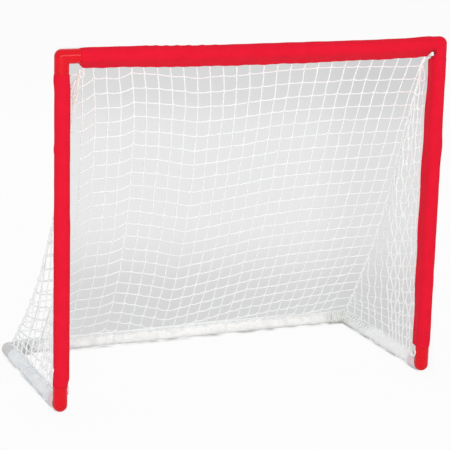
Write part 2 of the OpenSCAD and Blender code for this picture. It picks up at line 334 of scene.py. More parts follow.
shaderInputs = {
    "roughness": "Roughness", "specular": "Specular IOR Level",
    "sheen": "Sheen Weight", "sheenRoughness": "Sheen Roughness",
    "coat": "Coat Weight", "coatRoughness": "Coat Roughness",
}


def newMaterial(name, look):
    material = bpy.data.materials.new(name)
    material.use_nodes = True
    material.node_tree.nodes.clear()
    shader = addNode(material.node_tree, "BsdfPrincipled")
    addNode(shader, "OutputMaterial", name="surface", Surface=shader.outputs["BSDF"])
    for word, inputName in shaderInputs.items():
        if word in look:
            fill(shader.inputs[inputName], look[word])
    place = outOf(shader, "TexCoord", "Object")
    if "dark" in look:
        # two close tones, mixed in soft patches
        ramp = addNode(place, "ValToRGB", Fac=patches(place, look["patchScale"], 3.0, Roughness=0.6))
        for stop, at, tone in zip(ramp.color_ramp.elements, (0.35, 0.65), (look["dark"], look["light"])):
            stop.position, stop.color = at, (*tone, 1)
        fill(shader.inputs["Base Color"], ramp.outputs["Color"])
    return material, shader, place


def clothMaterial(name, look):
    look = {"roughness": 0.75, "sheen": 0.1, "sheenRoughness": 0.5, "specular": 0.25,
            "creaseScale": 55.0, "weavePitch": 0.0009, "weave": 0.2, **look}
    material, shader, place = newMaterial(name, look)
    if "overRed" in look:
        under, tone = look["overRed"], shader.inputs["Base Color"]
        share = softStep(splitUp(place)["Y"], under["from"], under["to"])
        fill(tone, mixColours(share, (*under["colour"], 1), tone.links[0].from_socket))
    addBump(shader, patches(place, look["creaseScale"], 4.0, Distortion=0.8), look["crease"], 0.004)
    # over and under threads, from the cloth's own run and width in metres
    run = splitUp(outOf(place, "UVMap", "UV", uv_map="clothRun"))
    waves = [maths("SINE", times(run[axis], 2 * pi / look["weavePitch"])) for axis in "XY"]
    addBump(shader, times(*waves), look["weave"], 0.0003)
    return material


def twineMaterial(name, look):
    look = {"roughness": 0.85, "sheen": 0.15, "specular": 0.25, "layScale": 900.0, "lay": 0.2, **look}
    material, shader, place = newMaterial(name, look)
    lay = outOf(place, "TexWave", "Fac", wave_type="BANDS", bands_direction="DIAGONAL", Vector=place,
                Scale=look["layScale"], Distortion=1.2, Detail=2.0)
    addBump(shader, lay, look["lay"], 0.0006)
    return material


def plasticMaterial(name, look):
    look = {"roughness": 0.45, "specular": 0.4, "coat": 0.1, "coatRoughness": 0.12,
            "grainScale": 240.0, "grain": 0.1, **look}
    material, shader, place = newMaterial(name, look)
    addBump(shader, patches(place, look["grainScale"], 3.0), look["grain"], 0.0006)
    if "partingY" in look:
        # thin line where the halves of the mould met
        off = sizeOf(less(splitUp(place)["Y"], look["partingY"]))
        addBump(shader, maths("LESS_THAN", off, 0.0004), 0.5, 0.0004)
    return material


redCloth = clothMaterial("redSleeveCloth", {
    "dark": (0.765, 0.0092, 0.031), "light": (0.805, 0.0106, 0.0338), "patchScale": 22.0,
    "roughness": 0.85, "sheen": 0.02, "specular": 0.06,
    "creaseScale": 38.0, "crease": 0.08, "weavePitch": 0.0011,
})
rearCloth = clothMaterial("whiteRearCloth", {
    "dark": (0.86, 0.865, 0.845), "light": (0.998, 1.0, 0.992), "patchScale": 52.0,
    "creaseScale": 60.0, "crease": 0.45,
})
# the white cloth is pinker and darker at its front end, over the red arm of the elbow
overRed = {"colour": (0.80, 0.69, 0.72), "from": frontY + 0.044, "to": frontY + 0.060}
# painted shade: the left base sleeve is a darker, bluer copy of the white cloth
shadedLeftCloth = clothMaterial("whiteLeftClothPaintedShade", {
    "dark": (0.83, 0.865, 0.90), "light": (0.955, 0.97, 0.985), "patchScale": 34.0,
    "crease": 0.5, "overRed": overRed,
})
rightCloth = clothMaterial("whiteRightCloth", {
    "dark": (0.92, 0.945, 0.95), "light": (0.998, 1.0, 1.0), "patchScale": 42.0,
    "crease": 0.4, "overRed": overRed,
})
redThread = twineMaterial("redSewingThread", {
    "dark": (0.62, 0.010, 0.028), "light": (0.70, 0.012, 0.032), "patchScale": 60.0,
})
# painted shade: a dark red for the shade in the slit at the top right corner
paintedSlitShade = twineMaterial("darkRedEdge", {
    "dark": (0.10, 0.003, 0.006), "light": (0.18, 0.004, 0.010), "patchScale": 80.0,
})
# white sewing thread made grey as painted shade along the crease where the hem meets the pipe
creaseShadeThread = twineMaterial("sewingThreadPaintedCreaseShade", {
    "dark": (0.62, 0.62, 0.62), "light": (0.70, 0.70, 0.70), "patchScale": 60.0,
})
netTwine = twineMaterial("whiteNetTwine", {
    "dark": (0.925, 0.95, 0.948), "light": (0.96, 0.98, 0.978), "patchScale": 14.0,
    "layScale": 420.0,
})
whiteCord = twineMaterial("whiteTieCord", {
    "dark": (0.95, 0.965, 0.962), "light": (0.975, 0.985, 0.983), "patchScale": 40.0,
    "layScale": 700.0, "lay": 0.12,
})
creamCord = twineMaterial("creamCordEnd", {
    "dark": (0.90, 0.88, 0.74), "light": (0.96, 0.94, 0.82), "patchScale": 45.0,
    "layScale": 700.0, "lay": 0.12,
})
redPlastic = plasticMaterial("redElbowPlastic", {
    "dark": (0.73, 0.0036, 0.0135), "light": (0.77, 0.0044, 0.0155), "patchScale": 30.0,
    "roughness": 0.16, "specular": 0.2, "coat": 0.0, "grainScale": 260.0, "grain": 0.03,
    "partingY": frontY,
})
# painted shade: a greyer copy of the elbow plastic, for the rear left elbow
shadedElbowPlastic = plasticMaterial("elbowPlasticPaintedShade", {
    "dark": (0.65, 0.65, 0.645), "light": (0.70, 0.70, 0.695), "patchScale": 26.0,
})
ivoryPlastic = plasticMaterial("ivoryElbowPlastic", {
    "dark": (0.84, 0.84, 0.77), "light": (0.92, 0.92, 0.86), "patchScale": 26.0,
})
whitePipe = plasticMaterial("whitePipePlastic", {
    "dark": (0.74, 0.74, 0.72), "light": (0.80, 0.80, 0.78), "patchScale": 9.0,
    "roughness": 0.4, "grainScale": 180.0, "grain": 0.08,
})
plugPlastic = plasticMaterial("plugPlastic", {
    "dark": (0.68, 0.68, 0.64), "light": (0.74, 0.74, 0.70), "patchScale": 18.0,
    "roughness": 0.5, "coat": 0.0, "grainScale": 300.0, "grain": 0.15,
})
# by node name, or by its last word
finishes = {
    "tube": whitePipe, "coupler": plugPlastic, "elbow": redPlastic,
    "rear_left_elbow": shadedElbowPlastic, "rear_right_elbow": ivoryPlastic,
}
for nodeName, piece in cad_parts.items():
    finish = finishes.get(nodeName, finishes.get(nodeName.split("_")[-1]))
    if finish:
        piece.data.materials.clear()
        piece.data.materials.append(finish)
print("materials ready")

# hems and corners that the net hangs from

hems = {
    "bar": 0.037, "barLeanDeg": 16.0,
    "rear": 0.027, "rearLeanDeg": 38.0,
    "side": 0.0225,
    "post": 0.037, "postLeanDeg": 16.0, "postLeanMoreDeg": 14.0,
}
corners = {"leftTop": 0.054, "rightTop": 0.036, "low": 0.006}  # metres in from the middles of the posts
bothSides = ((-1, "left"), (1, "right"))
barLean, rearLean = radians(hems["barLeanDeg"]), radians(hems["rearLeanDeg"])
barHemY, barHemZ = frontY + hems["bar"] * sin(barLean), barZ - hems["bar"] * cos(barLean)
rearHemY, rearHemZ = rearY - hems["rear"] * sin(rearLean), baseZ + hems["rear"] * cos(rearLean)
sideHemZ = baseZ + hems["side"]
leftTop = np.array([corners["leftTop"] - postX, barHemY + 0.002, barHemZ - 0.003])
rightTop = np.array([postX - corners["rightTop"], barHemY + 0.002, barHemZ - 0.003])
leftLow = np.array([corners["low"] - postX, rearHemY - 0.002, rearHemZ + 0.003])
rightLow = np.array([postX - corners["low"], rearHemY - 0.002, rearHemZ + 0.003])
seamEnds = {-1: (leftTop, leftLow), 1: (rightTop, rightLow)}


def postLean(z):
    # the net draws the post hems inwards, most at half height
    share = min(max((z - sideHemZ) / (barZ - sideHemZ), 0.0), 1.0)
    return radians(hems["postLeanDeg"] + hems["postLeanMoreDeg"] * sin(pi * share))


# the loose end of the tie at the top left

tail = {
    # metres from the corner of the net
    "route": ((-0.0095, -0.012, -0.0175), (-0.0100, -0.013, -0.040),
              (-0.0115, -0.013, -0.066), (-0.0190, -0.012, -0.089)),
    "fibres": 7, "fibreThick": 0.0008,
    "fibre": ((-0.002, 0.0011), (0.002, 0.0014), (0.0038, 0.0021)),  # metres past the cut end, and aside
}


def makeTail(t):
    line, along = evenPath(smoothPath([leftTop + p for p in t["route"]], 6), 0.0025)
    store = newStore()
    addTwistedCord(store, line, tieCord)
    # the cut end opens into its fibres
    fibres = newStore()
    down = unit(line[-1] - line[-3])
    for k in range(t["fibres"]):
        spread = np.array([cos(k * 0.9), sin(k * 0.9), 0.0]) * (0.6 if k % 2 else 1.0)
        fibre = [line[-1] + down * past + spread * aside for past, aside in t["fibre"]]
        addTube(fibres, fibre, t["fibreThick"] / 2, 5)
    frayed = makePiece("tie_tail_frayed_end", fibres, creamCord)
    piece = makePiece("tie_tail_cord", store, creamCord, ["top_left_tie_tail"])


makeTail(tail)
print("loose tie end laid")

# back net: twine runs hang from the bar hem, cross twine joins them row by row

backNet = {
    "twine": 0.0043,
    "firstColumn": -3, "lastColumn": 26, "middleColumn": 13,
    "topMiddle": -0.0186, "topStep": 0.0393, "topCrowding": 0.0001,
    "lowMiddle": 0.0675, "lowStep": 0.0356, "lowCrowding": -0.0002,
    "lean": 0.72,  # how early the runs lean outwards below the hem
    "hangsStraight": 0.03,  # share of the run that drops plumb from the hem
    # millimetres by column: how far the run starts and swings to the right, its first knot, its gap
    "topShift": ((0, 9), (1, 2), (3, -2), (9, -7), (12, -4), (16, 6), (20, 18), (26, 17)),
    "shiftFades": 0.08,  # over this share of the run
    "swing": ((0, 10), (9, 6), (14, -2), (19, -1), (26, 5)),
    "firstKnot": ((-4, 70), (0, 54), (1, 32), (3, 34), (4, 19), (6, 26), (9, 44), (12, 40),
                  (16, 27), (20, 26), (26, 34)),
    "gap": ((0, 47.5), (4, 47.2), (9, 49.8), (16, 46.9), (26, 44.2)),
    # millimetres of slack into the goal: three waves down the net, each over the share of its width
    "belly": ((54, -66.5, 60.5), (-10.3, 20.6, -19.4), (3.7, -5.4, 0)),
    "droop": 0.0017, "lowSlack": 1.8,
    "looseness": 0.0014, "bow": 0.004,
    "knot": 0.0072,
    "clearTop": 0.004, "clearLow": 0.008,  # no knots this close to the hems
    "clearSeam": 0.012,  # nor within this share of the run below the seam
    "hemTuck": 0.004,  # how far the runs go up and down into the hems
}
seamLine = {
    "inward": 0.012,  # the slack nets pull the seams towards each other
    "kink": 0.009, "kinkAt": 0.035, "kinkReach": 0.02,  # step inwards under the tie at the top right
}
crossTwine = {"thickness": 0.94, "backward": 0.3}  # shares of the run's thickness and of the sag
twineKnot = {
    "turns": 1.45, "steps": 10,
    "off": 0.55, "radius": 0.42,  # of the turns, in thicknesses of the twine
}
lashing = {"every": 0.009, "turn": 2.1, "swing": 0.0028, "uneven": 0.002, "radius": 0.45}
slackLoops = {
    "off": 0.0220,  # from the middle of the pipe
    "angleDeg": 78.0, "angleMoreDeg": 70.0,  # how far round the pipe they hang
    "overlap": 0.35, "skew": 0.012, "uneven": 0.003,
    "sideFrom": 0.200, "sideTo": 0.012, "sideCount": 11,  # metres in front of the rear pipe
    "rearFrom": 0.487, "rearTo": 0.562, "rearCount": 5,
}
netOut = np.array([0.0, 0.875, 0.484])


def netBelly(x, t):
    # more at both sides than in the middle
    w = (x * 1000 + 540) / 1080
    waves = [a + b * w + c * w * w for a, b, c in backNet["belly"]]
    return sum(wave * sin((k + 1) * pi * t) for k, wave in enumerate(waves)) / 1000


def netPoint(x, t):
    return blendIn((x, barHemY, barHemZ), (x, rearHemY, rearHemZ), t) - netOut * netBelly(x, t)


def seamX(side, t):
    top, low = seamEnds[side]
    inward = seamLine["inward"] * sin(pi * t)
    if side > 0:
        inward += seamLine["kink"] * exp(-((t - seamLine["kinkAt"]) / seamLine["kinkReach"]) ** 2)
    return top[0] + (low[0] - top[0]) * t - side * inward


def seamPoint(side, t):
    top, low = seamEnds[side]
    p = netPoint(seamX(side, t), t)
    # both ends meet the corners
    return p + ((top - netPoint(seamX(side, 0), 0)) * (1 - t) + (low - netPoint(seamX(side, 1), 1)) * t)


def columnX(column, t):
    n = backNet
    step = column - n["middleColumn"]
    top = n["topMiddle"] + n["topStep"] * step + n["topCrowding"] * step * step
    low = n["lowMiddle"] + n["lowStep"] * step + n["lowCrowding"] * step * step
    straight = n["hangsStraight"]
    reach = t ** n["lean"] * (1 - exp(-t / straight)) / (1 - exp(-1 / straight))
    shift = readOff(n["topShift"], column) * exp(-t / n["shiftFades"])
    shift += readOff(n["swing"], column) * sin(pi * t)
    return top + (low - top) * reach + shift / 1000


def runPoint(column, t):
    return netPoint(columnX(column, t), t)


def layColumns(n):
    # where each run starts, and its knots by row
    runs = {}
    steps = np.linspace(0, 1, 401)
    for c in range(n["firstColumn"], n["lastColumn"] + 1):
        along = lengthsAlong([runPoint(c, t) for t in steps])
        start = next((t for t in steps if columnX(c, t) >= seamX(-1, t) + 0.0005), 1.0)
        knots = {}
        for k in range(-2, 24):
            reach = (k * readOff(n["gap"], c) + readOff(n["firstKnot"], c)) / 1000
            t = float(np.interp(reach, along, steps))
            if n["clearTop"] < reach < along[-1] - n["clearLow"] and t > start + n["clearSeam"]:
                knots[k] = (t, runPoint(c, t) + wobble(c * 31 + k * 7, 2 * n["looseness"]))
        runs[c] = (start, knots)
    return runs


def addRun(store, stops, twine, seed, seedStep, bowSize):
    # one run of twine through its knots, a little bowed between them
    line = [stops[0]]
    for i in range(len(stops) - 1):
        bow = wobble(seed + i * seedStep, bowSize)
        for q in (0.25, 0.5, 0.75, 1.0):
            line.append(blendIn(stops[i], stops[i + 1], q) + bow * 4 * q * (1 - q) * 0.5)
    addTube(store, line, twine / 2)


def addCross(store, a, b, depth, twine):
    # cross twine from knot to knot, sagging between them
    down = np.array([0, crossTwine["backward"] * depth, -depth])
    line = [blendIn(a, b, q) + down * (4 * q * (1 - q)) for q in shares(6)]
    addTube(store, line, twine / 2 * crossTwine["thickness"])


def addTwineKnot(store, at, axis, size, twine):
    # the cross twine takes a turn and a half round the run
    k = twineKnot
    axis = unit(axis)
    side = unit(np.cross(axis, (0.2, -0.9, 0.3)))
    up = np.cross(axis, side)
    points = []
    for q in shares(k["steps"]):
        a = 2 * pi * q * k["turns"]
        turn = (side * cos(a) + up * sin(a)) * (twine * k["off"])
        points.append(at + axis * (q - 0.5) * (size - twine) + turn)
    addTube(store, points, twine * k["radius"], 5)


def addLashing(store, line, twine):
    # the twine that ties the edge of a net to its hem, round and round
    points = []
    for k, p in enumerate(evenPath(line, lashing["every"])[0]):
        a = k * lashing["turn"]
        points.append(p + np.array([cos(a), cos(a + 0.6), 0.8 * sin(a)]) * lashing["swing"]
                      + wobble(k * 1.9 + 300 * line[0][0], lashing["uneven"]))
    addTube(store, smoothPath(points, 3), twine * lashing["radius"], 5)


def addSlackLoops(store, around, start, stop, count, twine):
    # spare net at the rear corners hangs in short loops over the pipe
    step, overlap = (stop - start) / count, slackLoops["overlap"]
    for k in range(count):
        more = wobble(k * 3.7 + 60 * start, slackLoops["angleMoreDeg"])
        deep, skew = radians(slackLoops["angleDeg"] + more[0]), slackLoops["skew"] * more[1]
        points = []
        for q in np.linspace(0, 1, 10):
            place = start + step * (k + q * (1 + 2 * overlap) - overlap + skew * q * (1 - q))
            p = around(place, deep * 4 * q * (1 - q))
            p += wobble(k * 5.3 + q * 2.2 + 30 * start, slackLoops["uneven"])
            points.append((p[0], p[1], max(p[2], twine)))
        addTube(store, points, twine * lashing["radius"], 5)


def loopReach(hem, angle):
    return float(blendIn(hem + 0.0008, slackLoops["off"], easeStep(0.1, 0.9, angle)))


def makeBackNet(n):
    runs, store, twine = layColumns(n), newStore(), n["twine"]
    for c, (start, knots) in runs.items():
        if c < 0 or start > 0.01:
            begin = seamPoint(-1, start)
        else:
            begin = runPoint(c, 0) + (0, 0, n["hemTuck"])
        finish = runPoint(c, 1) + (0, 0.002, -n["hemTuck"])
        addRun(store, [begin, *(p for t, p in knots.values()), finish], twine, c * 13, 3.1, n["bow"])
        for k, (t, p) in knots.items():
            ahead = runPoint(c, min(t + 0.02, 1)) - p
            addTwineKnot(store, p, ahead + wobble(c + k * 5, 0.01), n["knot"], twine)
    for c in range(n["firstColumn"], n["lastColumn"]):
        for k, (t, p) in runs[c + 1][1].items():
            depth = n["droop"] * (0.75 + 0.5 * dice.random()) * (1 + n["lowSlack"] * easeStep(0.8, 1.0, t))
            if k in runs[c][1]:
                addCross(store, runs[c][1][k][1], p, depth, twine)
            else:
                addCross(store, seamPoint(-1, min(max(t + 0.004, 0.01), 0.99)), p, depth * 0.6, twine)
    for t, p in runs[n["lastColumn"]][1].values():
        addCross(store, p, seamPoint(1, min(t, 0.99)), n["droop"] * 0.5, twine)
    # the first column has no neighbour: close it against the seam
    for t, p in runs[n["firstColumn"]][1].values():
        addCross(store, seamPoint(-1, t), p, 0.001, twine)
    hemLine = [netPoint(x, 1) + (0, 0.001, 0.001) for x in np.linspace(leftLow[0], rightLow[0], 60)]
    addLashing(store, hemLine, twine)

    def aroundRear(x, angle):
        reach, turn = loopReach(hems["rear"], angle), rearLean + angle
        return np.array([x, rearY - reach * sin(turn), baseZ + reach * cos(turn)])

    for side in (-1, 1):
        addSlackLoops(store, aroundRear, side * slackLoops["rearFrom"], side * slackLoops["rearTo"],
                      slackLoops["rearCount"], twine)
    return makePiece("back_twine_net", store, netTwine, ["back_net"])


backTwine = makeBackNet(backNet)
print("back net knotted:", len(backTwine.data.polygons), "faces")

# side nets

sideNet = {
    "twine": 0.0042,
    "bunched": 8, "bunchedTop": 0.0125, "bunchedLow": 0.0225,  # runs gathered next to the post
    "columnStep": 0.046,
    "rows": 22,
    "topGap": 0.062,  # from the middle of the bar down to the top of the net
    "bulge": 0.014, "fold": 0.35,  # slack, hanging inwards
    "foldsAcross": 9.0, "foldsDown": 4.0,  # how fast the folds follow each other
    "kinkIn": 0.0018, "kinkAlong": 0.0035,  # how far the slack runs zigzag at their knots
    "rowDip": 0.2,  # how steeply the rows drop from the post towards the seam
    "crossLength": 0.036,  # of the twine from knot to knot; what its gap leaves over hangs down
    "leastDroop": 0.0015, "spareDroop": 0.75, "tautBelow": 0.012,  # gaps narrower than this droop less
    "clearSeam": 0.012, "clearLow": 0.985,  # knots start this share past the seam and stop at this one
    "uneven": 0.006, "looseness": 0.004, "hemTuck": 0.004,
    "bow": 0.006,
    "knot": 0.0068,
}


def sidePoint(side, across, down):
    n = sideNet
    height = float(blendIn(barZ - n["topGap"], sideHemZ + 0.002, down))
    lean, reach = postLean(height), hems["post"] + 0.001
    post = np.array([side * (postX - reach * sin(lean)), frontY + reach * cos(lean), height])
    flat = blendIn(post, seamPoint(side, 0.02 + 0.98 * down), across)
    flat[0] = blendIn(flat[0], side * postX, 0.8 * down ** 6 * (1 - across ** 4))
    hump = sin(pi * across)
    sag = hump * sin(pi * min(down, 1.0))
    fold = n["fold"] * sin(n["foldsAcross"] * across + n["foldsDown"] * down) * hump * sin(pi * down)
    return flat - (side * n["bulge"] * (sag + fold), 0, 0)


def sideShare(side, column, down):
    # the share of the way from post to seam at which a run hangs, less towards the floor
    n = sideNet
    step = n["bunchedTop"] + (n["bunchedLow"] - n["bunchedTop"]) * down
    place = (min(column, n["bunched"]) - 0.6) * step + max(column - n["bunched"], 0) * n["columnStep"]
    return place / max(np.linalg.norm(sidePoint(side, 1.0, down) - sidePoint(side, 0.0, down)), 0.001)


def dippedDown(side, across, down):
    p, atPost = sidePoint(side, across, down), sidePoint(side, 0.0, down)
    dip = sideNet["rowDip"] * (p[1] - atPost[1]) * easeStep(0.05, 0.22, atPost[2])
    return down + dip / (barZ - sideNet["topGap"] - sideHemZ)


def laySideRuns(side, n):
    # where each run leaves the seam, and its knots by row
    runs = {}
    column = 1
    while sideShare(side, column, 1.0) < 0.97:
        start = next(t for t in np.linspace(0, 1, 201) if sideShare(side, column, t) < 1.0)
        knots = {}
        for r in range(1, n["rows"]):
            down = r / n["rows"]
            if down < start + n["clearSeam"]:
                continue
            down += n["uneven"] * softNoise(column * 0.8, r * 1.3 + 11 * side, 9.0) * (1 - down)
            swap = 1 if (column + r) % 2 else -1
            loose = sin(pi * min(down * 1.02, 1.0)) ** 0.5
            kink = np.array([-side * swap * n["kinkIn"], swap * n["kinkAlong"], 0]) * loose
            down = dippedDown(side, min(sideShare(side, column, down), 1.0), down)
            if start + n["clearSeam"] <= down <= n["clearLow"]:
                knots[r] = (sidePoint(side, min(sideShare(side, column, down), 1.0), down) + kink
                            + wobble(column * 17 + r * 5 + side, n["looseness"]))
        runs[column] = (start, knots)
        column += 1
    return runs


def makeSideNet(side, word, n):
    runs, store, twine = laySideRuns(side, n), newStore(), n["twine"]
    for column, (start, knots) in runs.items():
        finish = sidePoint(side, sideShare(side, column, 1.0), 1.0) - (0, 0, n["hemTuck"])
        stops = [sidePoint(side, 1.0, start), *knots.values(), finish]
        addRun(store, stops, twine, column * 7 + side * 50, 2.3, n["bow"])
    for r in range(1, n["rows"]):
        down = r / n["rows"]
        row = [sidePoint(side, 0.0, down), *(knots[r] for start, knots in runs.values() if r in knots),
               sidePoint(side, 1.0, dippedDown(side, 1.0, down))]
        for a, b in zip(row, row[1:]):
            width = np.linalg.norm(b - a)
            spare = sqrt(max(n["crossLength"] ** 2 - width ** 2, 0.0)) / 2
            droop = n["spareDroop"] * spare * (0.6 + 0.8 * dice.random())
            depth = n["leastDroop"] + droop * min(1.0, width / n["tautBelow"])
            addCross(store, a, b, depth, twine)
        for start, knots in runs.values():
            if r in knots:
                ahead = knots.get(r + 1, knots[r] - (0, 0, 0.04)) - knots[r]
                addTwineKnot(store, knots[r], ahead, n["knot"], twine)
    hemLine = [sidePoint(side, across, 1.0) + (0, 0, 0.001) for across in np.linspace(0.02, 0.97, 30)]
    addLashing(store, hemLine, twine)

    def aroundSide(y, angle):
        reach = loopReach(hems["side"], angle)
        return np.array([side * (postX - reach * sin(angle)), y, baseZ + reach * cos(angle)])

    addSlackLoops(store, aroundSide, rearY - slackLoops["sideFrom"], rearY - slackLoops["sideTo"],
                  slackLoops["sideCount"], twine)
    makePiece(f"{word}_side_twine_net", store, netTwine, [f"{word}_side_net"])


for side, word in bothSides:
    makeSideNet(side, word, sideNet)
print("side nets knotted")

# seam ropes with the lacing that holds the nets to them

seamRope = {
    "thick": 0.0068,
    "wander": 0.0040,
    "lacing": 0.0026, "lacingEvery": 0.048, "lacingTurn": 0.9, "lacingPitch": 0.0006,
    "step": 0.002,  # of the points that the lacing is laid from
}


def makeSeam(side, word, s):
    store = newStore()
    line = []
    for k in range(81):
        t = k / 80
        calm = min(1.0, 8 * t, 8 * (1 - t))
        line.append(seamPoint(side, t) + wobble(k * 0.62 + 40 * side, s["wander"]) * calm)
    addTube(store, line, s["thick"] / 2, 8)
    path, along = evenPath(line, s["step"])
    ahead, sideways, upward = pathFrames(path)
    r = s["thick"] / 2 + s["lacing"] * 0.35
    for k in range(1, int(along[-1] / s["lacingEvery"])):
        middle = int(round(k * s["lacingEvery"] / s["step"]))
        wraps = []
        for j in range(-8, 9):
            i = min(max(middle + round(j * 0.3), 0), len(path) - 1)
            a = j * s["lacingTurn"]
            wraps.append(path[i] + ahead[i] * (j * s["lacingPitch"] - round(j * 0.3) * s["step"])
                         + (sideways[i] * cos(a) + upward[i] * sin(a)) * r)
        addTube(store, wraps, s["lacing"] / 2, 5)
    makePiece(f"{word}_seam_rope", store, whiteCord, [f"{word}_seam_cord"])


for side, word in bothSides:
    makeSeam(side, word, seamRope)
print("seam ropes laid")

# ties at the corners

topCorner = np.array([postX, frontY, barZ])
ties = {
    "knot": 0.0125,
    # metres from the corner of the net
    "left": ((0.011, 0.000, 0.011), (0.0105, -0.004, -0.004), (0.0095, -0.005, -0.0150),
             (0.003, -0.006, -0.0195), (-0.0037, -0.006, -0.018), (-0.0105, -0.005, -0.012),
             (-0.019, -0.004, -0.0125), (-0.0275, -0.006, -0.0155)),
    "leftKnot": (-0.004, -0.007, -0.018),
    # metres from where the pipes would meet: out of the corner, through the slit and back
    "right": ((-0.0370, 0.0125, -0.0400), (-0.0330, 0.0085, -0.0425), (-0.0300, 0.0015, -0.0365),
              (-0.0305, -0.0065, -0.0310), (-0.0325, -0.0150, -0.0245), (-0.0312, -0.0178, -0.0212),
              (-0.0288, -0.0165, -0.0238), (-0.0284, -0.0055, -0.0315), (-0.0287, 0.0030, -0.0368),
              (-0.0300, 0.0110, -0.0450)),
    "rightKnot": (-0.0312, -0.0155, -0.0268),
    "slit": ((-0.0295, -0.0205, -0.0165), (-0.0245, -0.0202, -0.0180), (-0.0222, -0.0178, -0.0215),
             (-0.0222, -0.0130, -0.0270), (-0.0232, -0.0060, -0.0330), (-0.0255, 0.0010, -0.0385)),
    # painted shade: how wide the dark strip along the slit is
    "slitShadeWidth": 0.0034,
    # degrees round the post, metres off its middle, height
    "front": ((125, 0.031, sideHemZ + 0.006), (148, 0.027, 0.067), (170, 0.0248, 0.067),
              (184, 0.0238, 0.061), (180, 0.0238, 0.052), (162, 0.0245, 0.045), (142, 0.028, 0.047)),
    "frontKnot": (144, 0.028, 0.047),
}


def aroundPost(side, angleDeg, radius, z):
    a = radians(angleDeg)
    return np.array([side * (postX + radius * cos(a)), frontY + radius * sin(a), z])


def makeTie(name, route, knotAt, knotAxis):
    store = newStore()
    addTwistedCord(store, smoothPath(route, 6), tieCord)
    addKnot(store, knotAt, knotAxis, ties["knot"], tieCord["thick"] * 0.85)
    makePiece(name + "_cord", store, whiteCord, [name])


def makeSlitShade(t):
    # painted shade: a dark strip along the slit in the hood that the tie comes out of
    store = newStore()
    line = smoothPath([topCorner + p for p in t["slit"]], 6)
    swell = np.sin(np.linspace(0.15, pi - 0.15, len(line)))
    addTube(store, line, t["slitShadeWidth"] / 2 * (0.35 + 0.65 * swell), 8)
    makePiece("top_right_slit_shade", store, paintedSlitShade)


makeTie("top_left_tie", [leftTop + p for p in ties["left"]], leftTop + ties["leftKnot"], (1, 0.2, 0.3))
makeTie("top_right_tie", [topCorner + p for p in ties["right"]], topCorner + ties["rightKnot"],
        (0.5, -0.3, 0.6))
makeSlitShade(ties)
for side, word in bothSides:
    makeTie(f"front_{word}_tie", [aroundPost(side, *turn) for turn in ties["front"]],
            aroundPost(side, *ties["frontKnot"]), (0.3, 1, 0.4))
print("ties knotted")

# cloth sleeves

edgeStep = 0.0004  # a second ring close to each cut edge keeps the edge crisp
redStitch = {"thread": redThread, "length": 0.0032, "gap": 0.0016, "thick": 0.0007}
# the base sleeves' stitches: real stitching, grey as painted crease shade
stitchWithCreaseShade = {"thread": creaseShadeThread, "length": 0.003, "gap": 0.0016, "thick": 0.0006}


def clothNoise(x, y, z, scale):
    return softNoise(x * scale, y * scale, z * scale)


def sleeveOutline(radius, hem, pinch, tip=0.0013):
    # closed outline along the hem and across it, from one edge of the hem round the pipe to the other
    a = acos(min(radius / max(hem, radius * 1.0005), 1.0))
    shoulder = (radius * cos(a), radius * sin(a))
    flank = []
    for k in range(8):
        f = k / 7
        half = tip + (shoulder[1] - tip) * (1 - f)
        half -= shoulder[1] * pinch * sin(pi * f) * (1 - 0.35 * f)
        flank.append((shoulder[0] + (hem - shoulder[0]) * f, max(half, tip * 0.9)))
    turns = [-a - (2 * pi - 2 * a) * k / 26 for k in range(1, 26)]
    body = [(radius * cos(b), radius * sin(b)) for b in turns]
    return np.array([(x, -y) for x, y in reversed(flank)] + body + flank)


def clothRing(radius, hem, fullHem, pinch, bump, wave, tip=0.0013, calmHem=1.0):
    # where the outline runs, along the hem and across it; bump: how far the cloth stands out at an angle
    # round the pipe and a share of the way down the hem; wave: how far the hem's edge swings
    points = []
    for along, across in sleeveOutline(radius, hem, pinch, tip):
        out, angle = hypot(along, across), atan2(across, along)
        share = max(0.0, (along - radius * 0.6) / (fullHem - radius * 0.6))
        scale = (out + bump(angle, share) * (1 - calmHem * share)) / out
        points.append((along * scale, across * scale + wave * share ** 1.5))
    return np.array(points).T


def loftCloth(name, rings, thick, material, node):
    # one skin through the rings, its inner side a cloth's thickness in
    rings = [np.asarray(r, float) for r in rings]
    steps = [np.median(np.linalg.norm(b - a, axis=1)) for a, b in zip(rings, rings[1:])]
    store = newStore()
    addSkin(store, rings, np.cumsum([0.0, *steps]), lengthsAlong([*rings[0], rings[0][0]]), False)
    store["uvs"] = [tuple((run, width) for width, run in face) for face in store["uvs"]]
    piece = makePiece(name, store, material, [node])
    weld = piece.modifiers.new("weld", "WELD")
    weld.merge_threshold = 0.00005
    solid = piece.modifiers.new("solid", "SOLIDIFY")
    solid.thickness, solid.offset = thick, -1.0
    depsgraph = bpy.context.evaluated_depsgraph_get()
    done = bpy.data.meshes.new_from_object(piece.evaluated_get(depsgraph))
    piece.modifiers.clear()
    old, piece.data = piece.data, done
    bpy.data.meshes.remove(old)
    done.name = name
    return piece


def addStitches(store, line, way, stitch, step=0.0005, lift=0.0004):
    # way: off the cloth; each stitch dips into it at both ends
    path, along = evenPath(line, step)
    off, half = unit(np.array(way, float)), int(round(stitch["length"] / step / 2))
    every = int(round((stitch["length"] + stitch["gap"]) / step))
    for middle in range(half + 2, len(path) - half - 2, every):
        dips = ((-half, -0.2), (-half // 2, 1.0), (half // 2, 1.0), (half, -0.2))
        points = [path[middle + j] + off * (lift * rise + 0.0001) for j, rise in dips]
        addTube(store, points, stitch["thick"] / 2, 4)


def sewSleeve(name, node, rings, cloth, s, hemRow, ways):
    # the cloth, and a row of stitches down each side of its hem
    piece = loftCloth(name, rings, s["thick"], cloth, node)
    stitches = newStore()
    index, first, last = hemRow
    for at, way in zip((index, len(rings[0]) - 1 - index), ways):
        addStitches(stitches, [ring[at] for ring in rings[first:last]], way, s["stitch"])
    thread = makePiece(name.replace("cloth", "stitching"), stitches, s["stitch"]["thread"])


